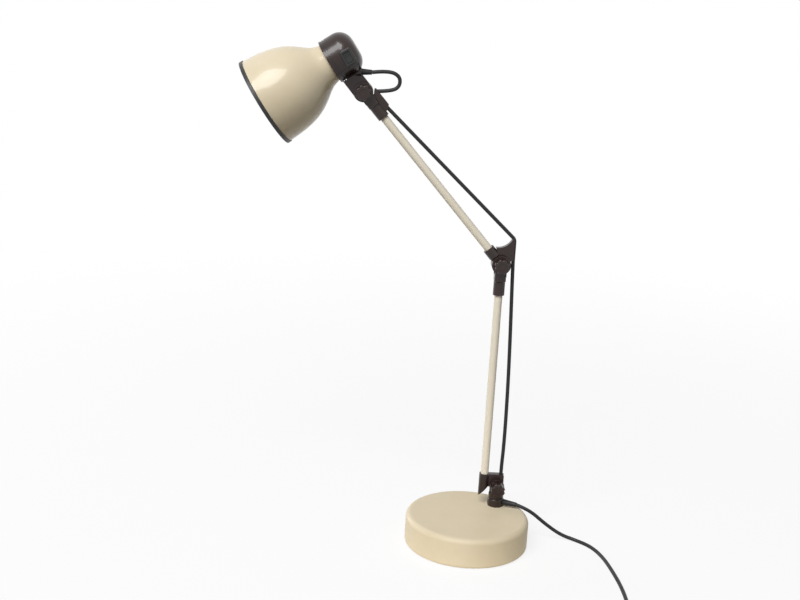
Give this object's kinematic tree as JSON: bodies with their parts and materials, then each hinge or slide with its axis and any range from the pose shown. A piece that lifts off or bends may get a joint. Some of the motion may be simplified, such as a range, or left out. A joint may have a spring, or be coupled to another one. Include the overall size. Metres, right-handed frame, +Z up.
{
  "type": "articulated desk lamp",
  "caption": "Desk lamp with a bell shade on jointed tube arms held by clamp knobs, a weighted drum base, a rocker switch and a coiled mains lead.",
  "frame": {"origin": "middle of the pad's underside, on the table", "axes": "+Z up; the arms swing in a plane parallel to XZ at rest, with the head towards -X; +Y away from the clamp knobs"},
  "size_m": [0.5779, 0.416, 0.7442],
  "materials": {
    "cream_paint": "gloss enamel",
    "iron": "rough cast",
    "plain_steel": "zinc plated",
    "felt": "pressed felt",
    "brown_plastic": "moulded",
    "black_plastic": "moulded",
    "cord_sheath": "smooth sheath",
    "bulb_glass": "opal",
    "cap_metal": "rolled",
    "pin_metal": "nickel plated"
  },
  "bodies": {
    "base": {"base_cover": "cream_paint", "base_weight": "iron", "base_plate": "plain_steel", "base_pad": "felt", "plate_screws": "plain_steel", "foot_socket": "brown_plastic", "foot_nut": "plain_steel", "lead_gland": "cord_sheath", "lead_run": "cord_sheath", "lead_coil": "cord_sheath", "coil_tie": "black_plastic", "lead_tail": "cord_sheath", "plug_body": "black_plastic", "plug_pins": "pin_metal"},
    "turret": {"turret_fork": "brown_plastic", "swivel_clip": "plain_steel", "base_bolt": "plain_steel", "base_washers": "plain_steel"},
    "base_clamp": {"base_knob": "brown_plastic"},
    "lower_arm": {"lower_knuckle": "brown_plastic", "lower_tube": "cream_paint", "elbow_fork": "brown_plastic", "elbow_bolt": "plain_steel", "elbow_washers": "plain_steel", "lower_cord": "cord_sheath"},
    "elbow_clamp": {"elbow_knob": "brown_plastic"},
    "upper_arm": {"elbow_tongue": "brown_plastic", "upper_tube": "cream_paint", "head_fork": "brown_plastic", "head_bolt": "plain_steel", "head_washers": "plain_steel", "upper_cord": "cord_sheath"},
    "head_clamp": {"head_knob": "brown_plastic"},
    "head": {"socket_cap": "brown_plastic", "lampholder": "black_plastic", "holder_screws": "plain_steel", "shade": "cream_paint", "shade_ring": "black_plastic", "shade_trim": "black_plastic", "bulb_glass": "bulb_glass", "bulb_cap": "cap_metal", "switch_body": "black_plastic", "head_gland": "cord_sheath", "head_cord": "cord_sheath"},
    "rocker": {"switch_rocker": "black_plastic"}
  },
  "joints": [
    {"name": "foot_swivel", "type": "hinge", "parent": "base", "child": "turret", "pos_m": [0.046, 0.04, 0.058], "axis": [0, 0, 1], "range_deg": [-160, 160]},
    {"name": "base_tilt", "type": "hinge", "parent": "turret", "child": "lower_arm", "pos_m": [0.046, 0.04, 0.077], "axis": [0, 1, 0], "range_deg": [-35, 30]},
    {"name": "elbow_bend", "type": "hinge", "parent": "lower_arm", "child": "upper_arm", "pos_m": [0.026, 0.04, 0.425], "axis": [0, 1, 0], "range_deg": [-65, 40], "deforming": ["lower_cord"]},
    {"name": "head_tilt", "type": "hinge", "parent": "upper_arm", "child": "head", "pos_m": [-0.18687, 0.04, 0.66392], "axis": [0, 1, 0], "range_deg": [-60, 50], "deforming": ["head_cord"]},
    {"name": "base_clamp_turn", "type": "hinge", "parent": "turret", "child": "base_clamp", "pos_m": [0.046, 0.04, 0.077], "axis": [0, 1, 0], "range_deg": [0, 270]},
    {"name": "elbow_clamp_turn", "type": "hinge", "parent": "lower_arm", "child": "elbow_clamp", "pos_m": [0.026, 0.04, 0.425], "axis": [0, 1, 0], "range_deg": [0, 270]},
    {"name": "head_clamp_turn", "type": "hinge", "parent": "upper_arm", "child": "head_clamp", "pos_m": [-0.18687, 0.04, 0.66392], "axis": [0, 1, 0], "range_deg": [0, 270]},
    {"name": "switch_rock", "type": "hinge", "parent": "head", "child": "rocker", "pos_m": [-0.21016, 0.0055, 0.71275], "axis": [0.829, 0, 0.5592], "range_deg": [-14, 0]}
  ]
}
